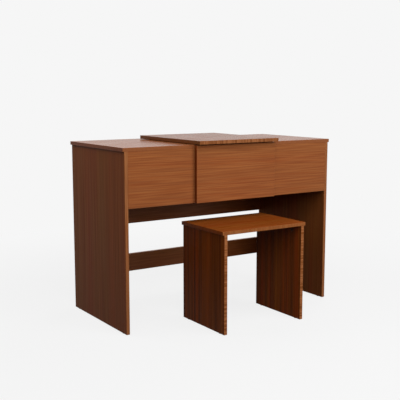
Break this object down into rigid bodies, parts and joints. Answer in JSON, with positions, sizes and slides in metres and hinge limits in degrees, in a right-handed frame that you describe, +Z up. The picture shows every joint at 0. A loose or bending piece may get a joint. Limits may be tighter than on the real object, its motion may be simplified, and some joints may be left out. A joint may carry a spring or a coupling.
{
  "type": "dressing table",
  "caption": "Wood-laminate dressing table with a flip-up mirror lid over a centre compartment, a handleless drawer below it and a matching stool for the knee space.",
  "frame": {"origin": "on the floor, in the middle of the footprint of table and stool together as stored", "axes": "+X to the right of someone sitting at it, +Y from its front to its back, +Z up; the fronts face -Y"},
  "size_m": [1.068, 0.709, 0.7672],
  "materials": {
    "laminate_upright": "satin red-brown wood-grain laminate, grain upright",
    "laminate_front": "satin red-brown wood-grain laminate, grain across",
    "laminate_back": "satin red-brown wood-grain laminate, grain across",
    "laminate_top": "satin red-brown wood-grain laminate, grain across",
    "laminate_lid": "satin red-brown wood-grain laminate, grain front to back",
    "laminate_seat": "satin red-brown wood-grain laminate, grain across",
    "laminate_stool": "satin red-brown wood-grain laminate, grain upright",
    "laminate_drawer": "matt red-brown wood-grain laminate",
    "hardboard": "smooth brown hardboard",
    "beech": "planed beech",
    "mirror_glass": "silvered glass",
    "plated_steel": "nickel-plated steel",
    "cast_zinc": "cast zinc",
    "clip_plastic": "clear to milky plastic",
    "glide_plastic": "dark brown plastic",
    "pad_rubber": "translucent soft rubber"
  },
  "bodies": {
    "table": {"left_side_panel": "laminate_upright", "right_side_panel": "laminate_upright", "left_top_board": "laminate_top", "right_top_board": "laminate_top", "hinge_rail": "laminate_top", "left_front_panel": "laminate_front", "right_front_panel": "laminate_front", "centre_front_rail": "laminate_front", "left_partition": "laminate_upright", "right_partition": "laminate_upright", "back_panel": "laminate_back", "lower_back_rail": "laminate_back", "tray_floor": "laminate_top", "left_drawer_runner": "beech", "right_drawer_runner": "beech", "left_hinge_frame_leaf": "plated_steel", "right_hinge_frame_leaf": "plated_steel", "left_hinge_pin": "plated_steel", "right_hinge_pin": "plated_steel", "hinge_frame_screws": "plated_steel", "runner_screws": "plated_steel", "cam_locks": "cast_zinc", "cam_bolts": "plated_steel", "dowels": "beech", "foot_glides": "glide_plastic", "lid_bumpers": "pad_rubber"},
    "lid": {"lid_board": "laminate_lid", "lid_mirror": "mirror_glass", "mirror_clips": "clip_plastic", "mirror_clip_screws": "plated_steel", "left_hinge_lid_leaf": "plated_steel", "right_hinge_lid_leaf": "plated_steel", "hinge_lid_screws": "plated_steel"},
    "drawer": {"drawer_front": "laminate_front", "drawer_left_side": "laminate_drawer", "drawer_right_side": "laminate_drawer", "drawer_back": "laminate_drawer", "drawer_bottom": "hardboard", "drawer_dowels": "beech", "drawer_screws": "plated_steel", "drawer_bumpers": "pad_rubber"},
    "stool": {"stool_seat": "laminate_seat", "stool_left_panel": "laminate_stool", "stool_right_panel": "laminate_stool", "stool_cam_locks": "cast_zinc", "stool_cam_bolts": "plated_steel", "stool_dowels": "beech", "stool_glides": "glide_plastic"}
  },
  "joints": [
    {"name": "lid_hinge", "type": "hinge", "parent": "table", "child": "lid", "pos_m": [0, 0.3243, 0.7528], "axis": [-1, 0, 0], "range_deg": [0, 110]},
    {"name": "drawer_slide", "type": "slide", "parent": "table", "child": "drawer", "axis": [0, -1, 0], "range_m": [0, 0.3]},
    {"name": "stool_slide", "type": "slide", "parent": "table", "child": "stool", "axis": [0, -1, 0], "range_m": [-0.38, 0.35]}
  ]
}
